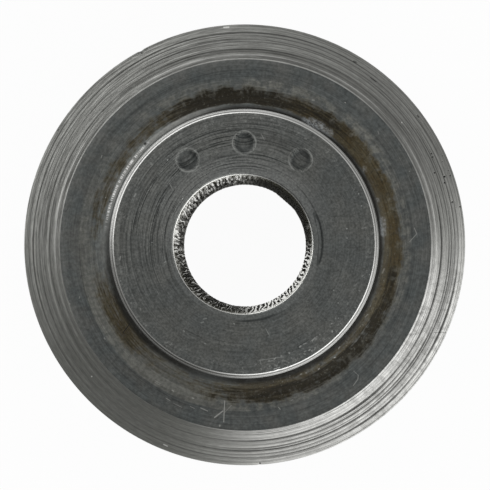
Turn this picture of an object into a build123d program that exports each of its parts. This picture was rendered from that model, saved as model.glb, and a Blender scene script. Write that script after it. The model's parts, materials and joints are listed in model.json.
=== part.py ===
from build123d import *
from math import radians, tan
import os

# Pipe cutter wheel: one solid turned from tool steel. Its hub turns on a pin through the bore,
# and its blade stands out from the middle of the hub: a rounded root, a flank that tapers a
# little, and a bevel with turned grooves that runs down to the cutting edge. Both sides of the
# blade are alike. The bore's axis is Z, and the origin is the bore's centre, in the plane of the
# edge. Lengths are in millimetres, and angles in degrees.

# Hub and bore
PIN_DIAMETER = 9.525
PIN_CLEARANCE = 0.075
HUB_DIAMETER = 18.9
HUB_WIDTH = 19.0
HUB_CHAMFER = 0.33
BORE_CHAMFER = 0.15

# Blade, from the hub's wall out to the edge
ROOT_RADIUS = 3.0
FLANK_REACH = 4.3
FLANK_TAPER = 12.0
BEVEL_REACH = 2.75
BEVEL_ANGLE = 30.0
EDGE_LAND = 0.08

# Turned grooves, each placed by its distance from the rim where the bevel starts
GROOVE_DISTANCES = (0.79, 2.2)
GROOVE_WIDTH = 0.15
GROOVE_DEPTH = 0.04

# Round punch marks on the upper face of the hub
PUNCH_COUNT = 3
PUNCH_SPACING = 34.0
PUNCH_DIRECTION = 90.0
PUNCH_DIAMETER = 1.5
PUNCH_DEPTH = 0.22

# Sizes worked out from those above
bore_radius = PIN_DIAMETER / 2 + PIN_CLEARANCE
hub_radius = HUB_DIAMETER / 2
hub_end = HUB_WIDTH / 2
rim_radius = hub_radius + FLANK_REACH
edge_radius = rim_radius + BEVEL_REACH
bevel_slope = tan(radians(BEVEL_ANGLE))
rim_height = EDGE_LAND / 2 + BEVEL_REACH * bevel_slope
root_height = rim_height + FLANK_REACH * tan(radians(FLANK_TAPER))


def corners(section, radius, height):
    """The corners of a section at that radius, above and below the plane of the edge."""
    return [
        corner
        for corner in section.vertices()
        if abs(corner.X - radius) < 1e-6 and abs(abs(corner.Y) - height) < 1e-6
    ]


def wheel_section():
    """Half of the wheel's section, from the bore out to the cutting edge."""
    with BuildSketch(Plane.XZ) as section:
        with BuildLine():
            Polyline(
                (bore_radius, -hub_end),
                (hub_radius, -hub_end),
                (hub_radius, -root_height),
                (rim_radius, -rim_height),
                (edge_radius, -EDGE_LAND / 2),
                (edge_radius, EDGE_LAND / 2),
                (rim_radius, rim_height),
                (hub_radius, root_height),
                (hub_radius, hub_end),
                (bore_radius, hub_end),
                close=True,
            )
        make_face()
        fillet(corners(section, hub_radius, root_height), ROOT_RADIUS)
        chamfer(corners(section, hub_radius, hub_end), HUB_CHAMFER)
        chamfer(corners(section, bore_radius, hub_end), BORE_CHAMFER)
    return section.sketch


def groove_section():
    """The turned grooves of one bevel, as small diamonds strung down its slope."""
    on_bevel = [d for d in GROOVE_DISTANCES if d + GROOVE_WIDTH < BEVEL_REACH]
    places = [
        Location((rim_radius + d, rim_height - d * bevel_slope), -BEVEL_ANGLE)
        for d in on_bevel
    ]
    with BuildSketch(Plane.XZ) as grooves:
        with Locations(places):
            Polygon(
                (-GROOVE_WIDTH / 2, 0),
                (0, -GROOVE_DEPTH),
                (GROOVE_WIDTH / 2, 0),
                (0, GROOVE_DEPTH),
                align=None,
            )
    return grooves.sketch


def punch_marks():
    """Balls that press the round marks into the hub's upper face, midway across it."""
    ball_radius = (PUNCH_DIAMETER**2 / 4 + PUNCH_DEPTH**2) / (2 * PUNCH_DEPTH)
    ball_height = hub_end - PUNCH_DEPTH + ball_radius
    face_middle = (bore_radius + BORE_CHAMFER + hub_radius - HUB_CHAMFER) / 2
    first = PUNCH_DIRECTION - PUNCH_SPACING * (PUNCH_COUNT - 1) / 2
    return [
        Rot(Z=first + PUNCH_SPACING * i) * Pos(face_middle, 0, ball_height) * Sphere(ball_radius)
        for i in range(PUNCH_COUNT)
    ]


def cutter_wheel():
    """The finished wheel: the turned body, less the grooves of both bevels and the marks."""
    body = revolve(wheel_section(), Axis.Z)
    upper_grooves = revolve(groove_section(), Axis.Z)
    lower_grooves = mirror(upper_grooves, Plane.XY)
    return body - upper_grooves - lower_grooves - punch_marks()


os.makedirs("parts", exist_ok=True)
export_step(cutter_wheel(), "parts/cutter_wheel.step")
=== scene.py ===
# %% [markdown]
# # A pipe cutter wheel
#
# The object is one piece of tool steel, turned on a lathe: a wide hub with a bore that runs on a
# pin, and a thin round blade that stands out from the middle of the hub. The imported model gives
# its true sizes, as plain solids. This lesson makes the visible surface: the lathe's grooves, the
# dark hardened skin, the brown stain in the root, and the bright ground bevel.

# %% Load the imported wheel
import json
import math

import bmesh
import bpy
from mathutils import Matrix, Vector, noise


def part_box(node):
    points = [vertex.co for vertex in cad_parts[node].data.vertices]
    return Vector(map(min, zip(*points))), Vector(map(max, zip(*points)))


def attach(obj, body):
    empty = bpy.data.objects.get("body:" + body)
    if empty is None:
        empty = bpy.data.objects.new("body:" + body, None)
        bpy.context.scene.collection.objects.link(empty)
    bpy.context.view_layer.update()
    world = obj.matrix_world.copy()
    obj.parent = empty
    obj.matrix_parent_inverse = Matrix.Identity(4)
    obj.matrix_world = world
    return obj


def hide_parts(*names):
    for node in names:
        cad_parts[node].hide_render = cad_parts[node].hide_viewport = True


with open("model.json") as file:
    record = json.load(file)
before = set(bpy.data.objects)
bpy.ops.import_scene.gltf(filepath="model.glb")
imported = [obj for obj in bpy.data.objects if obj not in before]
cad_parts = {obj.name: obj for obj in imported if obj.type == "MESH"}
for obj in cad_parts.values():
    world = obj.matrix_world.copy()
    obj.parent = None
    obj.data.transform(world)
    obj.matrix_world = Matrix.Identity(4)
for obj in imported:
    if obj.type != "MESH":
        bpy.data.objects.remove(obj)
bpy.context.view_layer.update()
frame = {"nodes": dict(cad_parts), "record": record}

# %% [markdown]
# ## Sizes
#
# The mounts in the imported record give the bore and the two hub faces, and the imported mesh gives
# the edge and the hub. The remaining sizes are those of the section's own corners. Everything is
# drawn in millimetres, because that is how such a wheel is measured, and scaled to metres last.

# %% Sizes of the section, in millimetres and degrees
MM = 0.001
HUB_CHAMFER = 0.33
ROOT_RADIUS = 3.0
FLANK_REACH = 4.3
FLANK_TAPER = 12.0
BEVEL_ANGLE = 30.0
EDGE_LAND = 0.08

mounts = {mount["name"]: mount for mount in frame["record"]["mounts"]}
packed_points = [vertex.co / MM for vertex in frame["nodes"]["cutter_wheel"].data.vertices]
low_corner, high_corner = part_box("cutter_wheel")
edge_radius = high_corner.x / MM
hub_end = mounts["upper_hub_face"]["pos_m"][2] / MM
hub_radius = max(math.hypot(p.x, p.y) for p in packed_points if p.z > 0.7 * hub_end)
bore_radius = mounts["bore"]["dims"]["r_mm"]
bore_chamfer = hub_end - mounts["bore"]["dims"]["length_mm"] / 2
rim_radius = hub_radius + FLANK_REACH
bevel_reach = edge_radius - rim_radius
rim_height = EDGE_LAND / 2 + bevel_reach * math.tan(math.radians(BEVEL_ANGLE))
root_height = rim_height + FLANK_REACH * math.tan(math.radians(FLANK_TAPER))
print(f"edge {edge_radius:.2f}, rim {rim_radius:.2f}, hub {hub_radius:.2f}, bore {bore_radius:.3f}")

# %% [markdown]
# ## The section
#
# A turned part is drawn as half of its section and spun round its axis, in Blender as on the
# lathe. The section starts as a few corners, and each corner is then rounded with a vertex bevel:
# widely in the root of the blade, and by a few hundredths of a millimetre where the tool has left
# a crisp edge. No real edge is perfectly sharp, and the small rounding is what catches the light.

# %% Draw the section's corners


def corners_of_one_side(root_steps):
    """Radius, height, rounding and rounding steps of each corner, from the edge to the bore."""
    return [
        (edge_radius, EDGE_LAND / 2, 0.02, 1),
        (rim_radius, rim_height, 0.10, 2),
        (hub_radius, root_height, ROOT_RADIUS, root_steps),
        (hub_radius, hub_end - HUB_CHAMFER, 0.06, 2),
        (hub_radius - HUB_CHAMFER, hub_end, 0.06, 2),
        (bore_radius + bore_chamfer, hub_end, 0.04, 2),
        (bore_radius, hub_end - bore_chamfer, 0.04, 2),
    ]


# %% [markdown]
# The lower half gets fewer steps in its root, because it is seen least. Both halves are joined to
# one closed outline before the corners are rounded.

# %% Join the corners, and round them


def round_corner(section, corner, rounding, steps):
    """Rounds one corner of the section with a vertex bevel, to about that radius."""
    one_side, other_side = (edge.other_vert(corner) for edge in corner.link_edges)
    turn = (corner.co - one_side.co).angle(other_side.co - corner.co)
    bmesh.ops.bevel(
        section,
        geom=[corner],
        offset=rounding * math.tan(turn / 2),
        segments=steps,
        profile=0.5,
        affect="VERTICES",
        material=-1,
    )


section = bmesh.new()
upper = [(section.verts.new((r, 0, h)), *rest) for r, h, *rest in corners_of_one_side(24)]
lower = [(section.verts.new((r, 0, -h)), *rest) for r, h, *rest in corners_of_one_side(12)]
ring_of_corners = upper + lower[::-1]
for (corner, *_), (following, *_) in zip(ring_of_corners, ring_of_corners[1:] + ring_of_corners[:1]):
    section.edges.new((corner, following))
for corner, rounding, steps in ring_of_corners:
    round_corner(section, corner, rounding, steps)
print("section:", len(section.verts), "corners after rounding")

# %% [markdown]
# ## Rings where detail goes
#
# The surface can only hold a groove that has rings to draw it. So the long spans of the section
# are subdivided before the spin: every 0.055 mm on the upper bevel, where the lathe's grooves show
# best, and more coarsely on the wall and the lower side.

# %% Subdivide the spans


def ring_spacing(radius, height):
    """The distance between rings, in millimetres, on the span that has that middle."""
    upper_side = height > 0
    if radius > rim_radius:
        return 0.055 if upper_side else 0.11
    if abs(height) > hub_end - HUB_CHAMFER / 10:
        return 0.12 if upper_side else 0.3
    if abs(height) > hub_end - HUB_CHAMFER:
        return 0.045 if upper_side else 0.12
    if radius < hub_radius - HUB_CHAMFER:
        return 1.2
    if radius > hub_radius + 0.1:
        return 0.2 if upper_side else 0.4
    return 0.6


for span in list(section.edges):
    middle = (span.verts[0].co + span.verts[1].co) / 2
    cuts = round(span.calc_length() / ring_spacing(middle.x, middle.z)) - 1
    if cuts > 0:
        bmesh.ops.subdivide_edges(section, edges=[span], cuts=cuts)
rings = len(section.verts)
print("section:", rings, "corners after the spans are subdivided")

# %% [markdown]
# A spin in many small steps gets slower with every step, because each one works on the whole mesh.
# So the section is spun through an eighth of a turn only. The eighth is copied and turned to make
# a quarter, then a half, then the whole, and the doubles along the joins are merged.

# %% Spin the section
SEGMENTS = 384
FIRST_PART = 8
wheel_mesh = section
bmesh.ops.spin(
    wheel_mesh,
    geom=wheel_mesh.verts[:] + wheel_mesh.edges[:],
    cent=(0, 0, 0),
    axis=(0, 0, 1),
    angle=math.tau / FIRST_PART,
    steps=SEGMENTS // FIRST_PART,
)
for turn in (math.tau / 8, math.tau / 4, math.tau / 2):
    whole = wheel_mesh.verts[:] + wheel_mesh.edges[:] + wheel_mesh.faces[:]
    copied = bmesh.ops.duplicate(wheel_mesh, geom=whole)["geom"]
    bmesh.ops.rotate(
        wheel_mesh,
        verts=[item for item in copied if isinstance(item, bmesh.types.BMVert)],
        cent=(0, 0, 0),
        matrix=Matrix.Rotation(turn, 3, "Z"),
    )
bmesh.ops.remove_doubles(wheel_mesh, verts=wheel_mesh.verts, dist=1e-4)
bmesh.ops.recalc_face_normals(wheel_mesh, faces=wheel_mesh.faces)
open_edges = sum(len(edge.link_faces) != 2 for edge in wheel_mesh.edges)
print(f"{rings} rings, {2 * len(wheel_mesh.faces)} triangles, {open_edges} open edges")

# %% [markdown]
# ## Zones for the finishes
#
# The wheel is one piece of steel with several finishes: turned faces on the hub, bright worn
# rims, dark skin on the hub's wall and the blade's flank, the ground bevel, and the rough wall of
# the bore. Each face of the mesh is told its zone by its place while the section is still true,
# before any relief moves it.

# %% Give each face its zone
ZONES = ("turned_face", "bright_rim", "dark_skin", "ground_bevel", "chattered_bore")


def zone_of(radius, height):
    """The finish at that radius and height."""
    if radius > rim_radius - 0.02:
        return "ground_bevel"
    if abs(height) > hub_end - HUB_CHAMFER and radius > hub_radius - HUB_CHAMFER * 0.95:
        return "bright_rim"
    if radius < bore_radius + bore_chamfer * 0.1 and abs(height) < hub_end - bore_chamfer * 0.85:
        return "chattered_bore"
    if radius < bore_radius + bore_chamfer * 0.5:
        return "bright_rim"
    if abs(height) > hub_end - HUB_CHAMFER:
        return "turned_face"
    return "dark_skin"


for face in wheel_mesh.faces:
    centre = face.calc_center_median()
    face.material_index = ZONES.index(zone_of(math.hypot(centre.x, centre.y), centre.z))
    face.smooth = True
zone_sizes = [sum(face.material_index == i for face in wheel_mesh.faces) for i in range(5)]
print("faces in each zone:", dict(zip(ZONES, zone_sizes)))

# %% [markdown]
# ## Relief: what the tools left behind
#
# Each mark is a small function that says how high the surface stands at a place, given by its
# radius and its heading round the wheel in degrees. The vertices are then moved along their own
# normals by the sum. Working from functions keeps every mark in its own words, and the marks can
# be moved or deepened without touching the mesh.

# %% Helpers for marks


def hump(offset, half_width):
    """1 in the middle of a mark, falling smoothly to 0 at its half width."""
    share = min(abs(offset) / half_width, 1.0)
    return (1 - share * share) ** 2


def ease(value, start, end):
    """Goes smoothly from 0 to 1 as the value goes from start to end."""
    share = min(max((value - start) / (end - start), 0.0), 1.0)
    return share * share * (3 - 2 * share)


def turned_away(heading, centre):
    """The angle from one heading to another, from -180 to 180 degrees."""
    return (heading - centre + 180) % 360 - 180


def wander(heading, speed, seed):
    """A value from about -1 to 1 that changes slowly round the wheel and meets itself again."""
    angle = math.radians(heading)
    return noise.noise(Vector((speed * math.cos(angle), speed * math.sin(angle), seed)))


# %% [markdown]
# ### Grooves of the bevel
#
# The bevel was turned with a narrow tool that fed outwards. It left a rounded ridge at the rim and
# a second one next to it, two deep grooves, and finer ones between them. A groove is never the same
# depth all round, so its depth wanders, and on one side of the wheel a finer cut has almost wiped
# the grooves out. The grooves were also cut a hair off the centre of the edge, as happens when a
# wheel goes back into the chuck.

# %% Ridges and grooves
FEED = 0.22
# distance from the rim, half width and height, in millimetres, and how many times higher it
# stands on the rough side: a groove's height is negative
RIDGES = (
    (0.02, 0.08, 0.012, 0.7),
    (0.16, 0.08, -0.010, 0.1),
    (0.36, 0.10, 0.012, 0.6),
    (0.61, 0.13, -0.007, 0.3),
    (0.80, 0.08, -0.015, 3.8),
    (0.97, 0.16, 0.005, 1.5),
    (1.12, 0.07, -0.010, 2.0),
    (1.40, 0.07, -0.013, 1.6),
    (1.57, 0.07, -0.016, 2.2),
    (1.87, 0.07, -0.012, 1.5),
    (2.12, 0.08, -0.021, 2.3),
    (2.42, 0.07, -0.010, 1.5),
    (2.62, 0.07, -0.009, 1.3),
)
SMOOTH_SIDE = 225.0
ROUGH_SIDE = 312.0
OFF_CENTRE = 0.073
OFF_TOWARD = 331.0


# %% [markdown]
# The relief of the bevel is the sum of the feed lines and the grooves. The shift off the centre is
# kept apart from it, because it moves the rim sideways and not up.

# %% How the bevel stands out


def bevel_relief(distance, heading):
    """How far the bevel's surface stands out, at that distance from the rim."""
    smooth = 1 - 0.85 * hump(turned_away(heading, SMOOTH_SIDE), 50)
    rough = hump(turned_away(heading, ROUGH_SIDE), 80)
    height = 0.0015 * math.cos(math.tau * distance / FEED + 2 * wander(heading, 1.5, 7.0))
    for number, (place, half_width, tallest, rougher) in enumerate(RIDGES):
        fading = max(0.85 + 1.1 * wander(heading, 2.6, 3.0 * number), 0.1)
        fading *= 1 + (rougher - 1) * rough
        height += tallest * fading * hump(distance - place, half_width)
    return height * smooth


def groove_shift(radius, heading):
    """How far the rim and the grooves lie outwards of their true circle."""
    distance = radius - rim_radius
    share = ease(distance, -1.2, -0.2) * (1 - ease(distance, 2.25, bevel_reach))
    return OFF_CENTRE * share * math.cos(math.radians(heading - OFF_TOWARD))


# %% [markdown]
# ### Nicks, dents and the ridges of the hub's rim
#
# Use and handling have left two nicks in the edge and a few small dents in the hub's rim. The rim
# itself was broken with a tool that left three fine ridges round it.

# %% Nicks, dents and rim ridges
# heading, half width in degrees and depth in millimetres
EDGE_NICKS = ((118.2, 1.0, 0.07), (274.0, 0.9, 0.03))
NICK_REACH = 0.5
RIM_DENTS = (
    (285.0, 1.6, 0.05),
    (281.5, 1.2, 0.02),
    (331.0, 1.2, 0.015),
    (214.0, 1.0, 0.02),
    (2.0, 0.9, 0.02),
)
RIM_GROOVES = (0.15, 0.29)
RIM_GROOVE_DEPTH = 0.022


# %% [markdown]
# A nick pushes the edge in towards the hub, and a dent presses the rim down. Both fade out with
# the distance from where they are deepest.

# %% How deep nicks, dents and rim ridges are


def nick_depth(radius, heading):
    """How far the edge is pushed in towards the hub by a nick."""
    near_edge = max(0.0, 1 - (edge_radius - radius) / NICK_REACH)
    return sum(
        depth * near_edge * hump(turned_away(heading, centre), width)
        for centre, width, depth in EDGE_NICKS
    )


def dent_depth(radius, height, heading):
    """How far the hub's rim is pressed down by a dent. The lower rim has its dents elsewhere."""
    if abs(height) < hub_end - HUB_CHAMFER * 1.1:
        return 0.0
    heading = heading if height > 0 else 70 - heading
    near_rim = hump(radius - (hub_radius - HUB_CHAMFER), 0.35)
    return sum(
        depth * near_rim * hump(turned_away(heading, centre), width)
        for centre, width, depth in RIM_DENTS
    )


def rim_relief(radius, heading):
    """The two fine grooves that part the rim's three ridges."""
    distance = radius - (hub_radius - HUB_CHAMFER)
    fading = 0.8 + 0.7 * wander(heading, 2.0, 11.0)
    return -RIM_GROOVE_DEPTH * fading * sum(hump(distance - place, 0.055) for place in RIM_GROOVES)


# %% [markdown]
# ### The wall of the bore
#
# The tool that opened the bore chattered: it jumped along the wall and left long narrow facets that
# lean a little. It also wandered by a tenth of a millimetre, so that the upper mouth lies a little
# off centre, and pushed a small burr out at the far mouth.

# %% Chatter, burr and the off-centre mouth
CHATTER_MARKS = 96
CHATTER_DEPTH = 0.014
CHATTER_LEAN = 0.13
BURR_HEADING = 49.0
BURR_HALF_WIDTH = 14.0
BURR_HEIGHT = 0.11
MOUTH_OFF_CENTRE = 0.1
MOUTH_TOWARD = 212.0
MOUTH_FADES_FROM = 5.05
MOUTH_FADES_TO = 5.8


# %% [markdown]
# Each of these moves a vertex of the wall towards the steel or away from it, by its height in the
# bore and its heading.

# %% How the wall of the bore moves


def bore_shift(radius, height):
    """How far the wall of the bore and its mouth lie off centre at that radius and height."""
    share = ease(height, -hub_end, hub_end) * (1 - ease(radius, MOUTH_FADES_FROM, MOUTH_FADES_TO))
    return MOUTH_OFF_CENTRE * share


def chatter_depth(height, heading):
    """How deep the tool that opened the bore bit into the wall."""
    turns = heading / 360 * CHATTER_MARKS + 0.9 * wander(heading, 6.0, 1.0)
    leaning = turns + CHATTER_LEAN * height + 0.8 * noise.noise(Vector((heading / 9, height / 4, 5.0)))
    bite = 0.6 + 0.8 * noise.noise(Vector((heading / 5, height / 2.6, 2.0)))
    bite = max(bite, 0.1) * (1 - ease(height, hub_end - 0.8, hub_end - bore_chamfer))
    return CHATTER_DEPTH * bite * (1 - math.cos(math.tau * leaning))


def burr_height(height, heading):
    """How far the burr at the lower mouth stands into the bore."""
    near_mouth = max(0.0, 1 - (height + hub_end) / 0.8)
    return BURR_HEIGHT * near_mouth * hump(turned_away(heading, BURR_HEADING), BURR_HALF_WIDTH)


# %% [markdown]
# ### Punch marks
#
# Three round punch marks lie on the upper face. A punch doesn't take metal away: it presses it
# aside, so each mark has a raised lip round it.

# %% Punch marks and the rings of the hub's face
PUNCH_HEADINGS = (56.0, 90.0, 124.0)
PUNCH_RADIUS = 0.75
PUNCH_DEPTH = 0.22
LIP_HEIGHT = 0.035
LIP_WIDTH = 0.22
face_middle = (bore_radius + bore_chamfer + hub_radius - HUB_CHAMFER) / 2


def punch_relief(x, y):
    """The height of the upper face about the punch marks: a round hollow inside a raised lip."""
    ball = (PUNCH_RADIUS**2 + PUNCH_DEPTH**2) / (2 * PUNCH_DEPTH)
    height = 0.0
    for heading in PUNCH_HEADINGS:
        angle = math.radians(heading)
        reach = math.hypot(x - face_middle * math.cos(angle), y - face_middle * math.sin(angle))
        if reach < PUNCH_RADIUS:
            height -= math.sqrt(ball**2 - reach**2) - (ball - PUNCH_DEPTH)
        height += LIP_HEIGHT * hump(reach - PUNCH_RADIUS - LIP_WIDTH / 4, LIP_WIDTH)
    return height


def face_relief(radius, heading):
    """The shallow rings that the tool left in the hub's end faces."""
    near_bore = hump(radius - 5.40, 0.13) * (
        hump(turned_away(heading, 4), 24) + 0.15 * hump(turned_away(heading, 281), 26)
    )
    return -0.03 * near_bore - 0.004 * hump(radius - 5.95, 0.2)


# %% [markdown]
# ### Stain, grime and painted shade
#
# Oil and rust have settled in the root of the blade, more on one side than on the other, and a
# thin greasy film reaches a little further up the flank. The corner at the foot of the wall is
# darkened by grime and by painted shade. These lie in patches that follow the wheel round, so each
# patch is written as an arc with a heading, a reach and a strength. The strengths are kept with the
# vertices, as if painted on, and the finish reads them back.

# %% Patches of stain
# heading, half width in degrees, inner and outer radius in millimetres, strength, darkness
STAIN_ARCS = (
    (10, 50, 10.30, 11.70, 0.80, 0.00),
    (45, 44, 10.20, 11.62, 0.85, 0.05),
    (80, 34, 10.35, 11.58, 0.60, 0.70),
    (104, 30, 10.40, 11.72, 0.80, 0.75),
    (132, 28, 10.60, 11.58, 0.50, 0.10),
    (162, 30, 10.45, 11.60, 0.42, 0.05),
    (212, 29, 10.10, 11.68, 0.74, 0.08),
    (246, 28, 10.30, 11.60, 0.28, 0.02),
    (275, 28, 10.15, 11.84, 0.55, 0.00),
    (308, 40, 10.12, 11.90, 0.57, 0.00),
    (345, 28, 10.25, 11.84, 0.45, 0.00),
    (272, 26, 10.65, 11.92, 0.20, 0.60),
    (306, 36, 10.75, 11.90, 0.28, 0.95),
    (338, 26, 10.80, 11.80, 0.12, 0.65),
    (53, 15, 10.60, 11.55, 0.20, 0.40),
)
GRIME_AND_SHADE_EDGE = 10.15
# the grime and the painted shade reach further on these sides
FURTHER_GRIME_AND_SHADE = ((215, 34, 0.15), (298, 50, 0.04))
# and the root is nearly free of them on these sides
CLEARER_ARCS = ((145, 60, 0.9), (56, 14, 0.5), (8, 12, 0.5), (85, 40, 0.3), (254, 14, 0.3))
FILM_FROM = 11.55
FILM_TO = 12.33
# heading, half width in degrees, and how much thicker the film is there
FILM_PATCHES = ((126, 62, -0.6), (318, 55, -0.55), (238, 46, 0.34), (176, 34, -0.34))


# %% [markdown]
# The edge of the stain licks outwards like flames, at three scales, and the edge of the grime and
# the painted shade is only a little ragged. The film is patchy, and it thins out towards the rim.

# %% How thick the dirt lies


def stain_at(radius, heading):
    """How strongly the root is stained brown there, and how dark, both from 0 to 1."""
    flame = 0.18 * wander(heading, 11.0, 2.0) + 0.14 * wander(heading, 26.0, 6.0)
    flame += 0.05 * wander(heading, 60.0, 16.0)
    brown = dark = 0.0
    for centre, half_width, inner, outer, strength, darkness in STAIN_ARCS:
        across = ease(radius, inner - 0.25, inner + 0.15)
        across *= 1 - ease(radius, outer - 0.5 + flame, outer + 0.24 + flame)
        across *= hump(turned_away(heading, centre), half_width)
        brown += strength * across
        dark += darkness * across
    return min(brown, 1.0), min(dark, 1.0)


def grime_and_shade_at(radius, heading):
    """How thick the dark grime and the painted shade lie in the corner of the root, from 0 to 1."""
    clearer = max(share * hump(turned_away(heading, centre), w) for centre, w, share in CLEARER_ARCS)
    thick = max(more * hump(turned_away(heading, centre), w) for centre, w, more in FURTHER_GRIME_AND_SHADE)
    ragged = GRIME_AND_SHADE_EDGE + thick + 0.08 * wander(heading, 9.0, 4.0)
    return (1 - clearer) * (1 - ease(radius, ragged - 0.15, ragged + 0.25))


def film_at(radius, heading):
    """How thick the greasy film lies on the flank, from 0 to 1."""
    ragged = 1 - hump(turned_away(heading, 215), 70)
    outer = FILM_TO - 0.05 + 0.05 * wander(heading, 3.0, 8.0)
    outer += 0.14 * wander(heading, 24.0, 18.0) * ragged
    crisp = 0.04 + 0.12 * ragged
    patchy = 0.8 + 0.4 * wander(heading, 3.0, 9.0)
    for centre, half_width, more in FILM_PATCHES:
        patchy += more * hump(turned_away(heading, centre), half_width)
    inner = FILM_FROM - 1.5 * hump(turned_away(heading, 222), 60)
    return patchy * ease(radius, inner - 0.3, inner + 0.3) * (
        1 - ease(radius, outer - crisp, outer + crisp)
    )


# %% [markdown]
# ### Move the vertices
#
# One pass over the mesh adds the marks up. The bevel, the faces and the bore's wall are told apart
# by radius and height. The lower side has the same kinds of marks at other headings. On the way,
# the strengths that the finishes need are kept with the vertices.

# %% Add up the marks
BEVEL_FROM = rim_radius - 0.12


def stand_out(x, y, z):
    """How far the surface at that place moves out along its normal, in millimetres."""
    radius = math.hypot(x, y)
    heading = math.degrees(math.atan2(y, x))
    if radius > BEVEL_FROM:
        return bevel_relief(radius - rim_radius, heading if z > 0 else 40 - heading)
    if radius < bore_radius + bore_chamfer / 2:
        return burr_height(z, heading) - chatter_depth(z, heading)
    if z > hub_end - HUB_CHAMFER * 1.1:
        return punch_relief(x, y) + face_relief(radius, heading) + rim_relief(radius, heading)
    if z < -hub_end + HUB_CHAMFER * 1.1:
        return rim_relief(radius, -heading)
    return 0.0


def whole_move(vertex, height):
    """The move of a vertex that stands out so far: up, with its nicks, and off centre."""
    x, y, z = vertex.co
    radius = math.hypot(x, y)
    heading = math.degrees(math.atan2(y, x))
    outwards = Vector((x, y, 0)).normalized()
    height -= dent_depth(radius, z, heading)
    move = vertex.normal * height - outwards * nick_depth(radius, heading)
    if z > 0:
        move += outwards * groove_shift(radius, heading)
    if radius < MOUTH_FADES_TO:
        mouth_turn = math.radians(MOUTH_TOWARD)
        move += bore_shift(radius, z) * Vector((math.cos(mouth_turn), math.sin(mouth_turn), 0))
    return move


# %% [markdown]
# A fine groove is drawn as dark as a deep mark, so each kind of relief has its own depth and
# height at which it counts as fully pressed in or raised.

# %% Press the marks into the mesh
FINE_DEPTH = 0.02
PUNCH_SHADES_TO = 0.4
RIDGE_HEIGHT = 0.014
FINE_WITHIN = 5.7
PAINTED = ("pressed", "raised", "stain", "dark_stain", "grime", "film")
painted = {name: wheel_mesh.verts.layers.float.new(name) for name in PAINTED}


def share_of(height, full):
    """How much of the full height that is, from 0 to 1."""
    return min(max(height / full, 0.0), 1.0)


wheel_mesh.normal_update()
moves = []
for vertex in wheel_mesh.verts:
    x, y, z = vertex.co
    radius = math.hypot(x, y)
    heading = math.degrees(math.atan2(y, x))
    height = stand_out(x, y, z)
    is_fine = radius > hub_radius - HUB_CHAMFER or radius < FINE_WITHIN
    vertex[painted["pressed"]] = share_of(-height, FINE_DEPTH if is_fine else PUNCH_SHADES_TO)
    vertex[painted["raised"]] = share_of(height, RIDGE_HEIGHT if radius > BEVEL_FROM else LIP_HEIGHT)
    if hub_radius - 0.01 < radius < rim_radius:
        side = heading if z > 0 else 200 - heading
        vertex[painted["stain"]], vertex[painted["dark_stain"]] = stain_at(radius, side)
        # the corner at the foot of the wall holds grime and painted shade, fading up the wall
        vertex[painted["grime"]] = grime_and_shade_at(radius, side) * (1 - ease(abs(z), 4.6, 6.4))
        vertex[painted["film"]] = film_at(radius, side)
    moves.append(whole_move(vertex, height))
for vertex, move in zip(wheel_mesh.verts, moves):
    vertex.co += move
print(f"longest move {max(move.length for move in moves):.3f} mm")

# %% [markdown]
# The mesh is finished. It becomes an object that rides on the part's body and takes the place of
# the plain solid.

# %% The wheel as an object
bmesh.ops.scale(wheel_mesh, vec=(MM, MM, MM), verts=wheel_mesh.verts)
wheel_data = bpy.data.meshes.new("cutter_wheel_body")
wheel_mesh.to_mesh(wheel_data)
wheel_mesh.free()
wheel = bpy.data.objects.new("cutter_wheel_body", wheel_data)
bpy.context.scene.collection.objects.link(wheel)
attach(wheel, "root")
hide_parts("cutter_wheel")
print("wheel:", len(wheel_data.polygons), "faces")

# %% [markdown]
# ## Tools for the finishes
#
# A material is a tree of nodes. These helpers keep the trees readable: one adds a node and feeds
# its sockets in order, and the others name the few sums that every finish needs. Every socket
# knows the tree that it belongs to, so a helper finds its tree through what it is fed with.

# %% Helpers for node trees
CLOUDY_RANGE = (0.3, 0.7)


def feed(socket, value):
    """Feeds a socket: by a link where the value is another socket, or else with the value."""
    if isinstance(value, bpy.types.NodeSocket):
        socket.id_data.links.new(value, socket)
    elif value is not None:
        socket.default_value = value


def tree_of(feeds):
    """The tree that the first socket among the feeds belongs to."""
    return next(value.id_data for value in feeds if isinstance(value, bpy.types.NodeSocket))


def put(tree, kind, *feeds, **settings):
    """Adds a node, and feeds its sockets in order: None leaves one as it is."""
    node = tree.nodes.new("ShaderNode" + kind)
    for name, value in settings.items():
        setattr(node, name, value)
    for socket, value in zip(node.inputs, feeds):
        feed(socket, value)
    return node


def calc(operation, *feeds):
    """The result of a sum. It is worked out in the tree that the feeds come from."""
    return put(tree_of(feeds), "Math", *feeds, operation=operation).outputs[0]


def vector_calc(operation, first, second=None, scale=None):
    """The result of a sum on vectors: a number for a length or a dot product."""
    node = put(first.id_data, "VectorMath", first, second, None, scale, operation=operation)
    return node.outputs["Value" if operation in ("LENGTH", "DOT_PRODUCT", "DISTANCE") else "Vector"]


def fade(value, start, end, low=0.0, high=1.0):
    """Goes smoothly from low to high as the value goes from start to end."""
    feeds = (value, start, end, low, high)
    return put(tree_of(feeds), "MapRange", *feeds, interpolation_type="SMOOTHSTEP").outputs[0]


def stretched(value, low=0.0, high=1.0):
    """Goes from low to high as cloudy values go through their usual range."""
    return fade(value, *CLOUDY_RANGE, low, high)


def graded(mask, low, high):
    """Goes from low to high as a mask goes from 0 to 1."""
    return fade(mask, 0.0, 1.0, low, high)


def blend(share, first, second):
    """Two colours mixed: share 0 gives the first, and 1 the second. A plain colour is opaque."""
    node = put(share.id_data, "Mix", share, data_type="RGBA")
    # the sockets from 1 to 5 of this node belong to its other kinds of mix
    for number, colour in ((6, first), (7, second)):
        feed(node.inputs[number], (*colour, 1) if isinstance(colour, tuple) else colour)
    return node.outputs[2]


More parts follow.
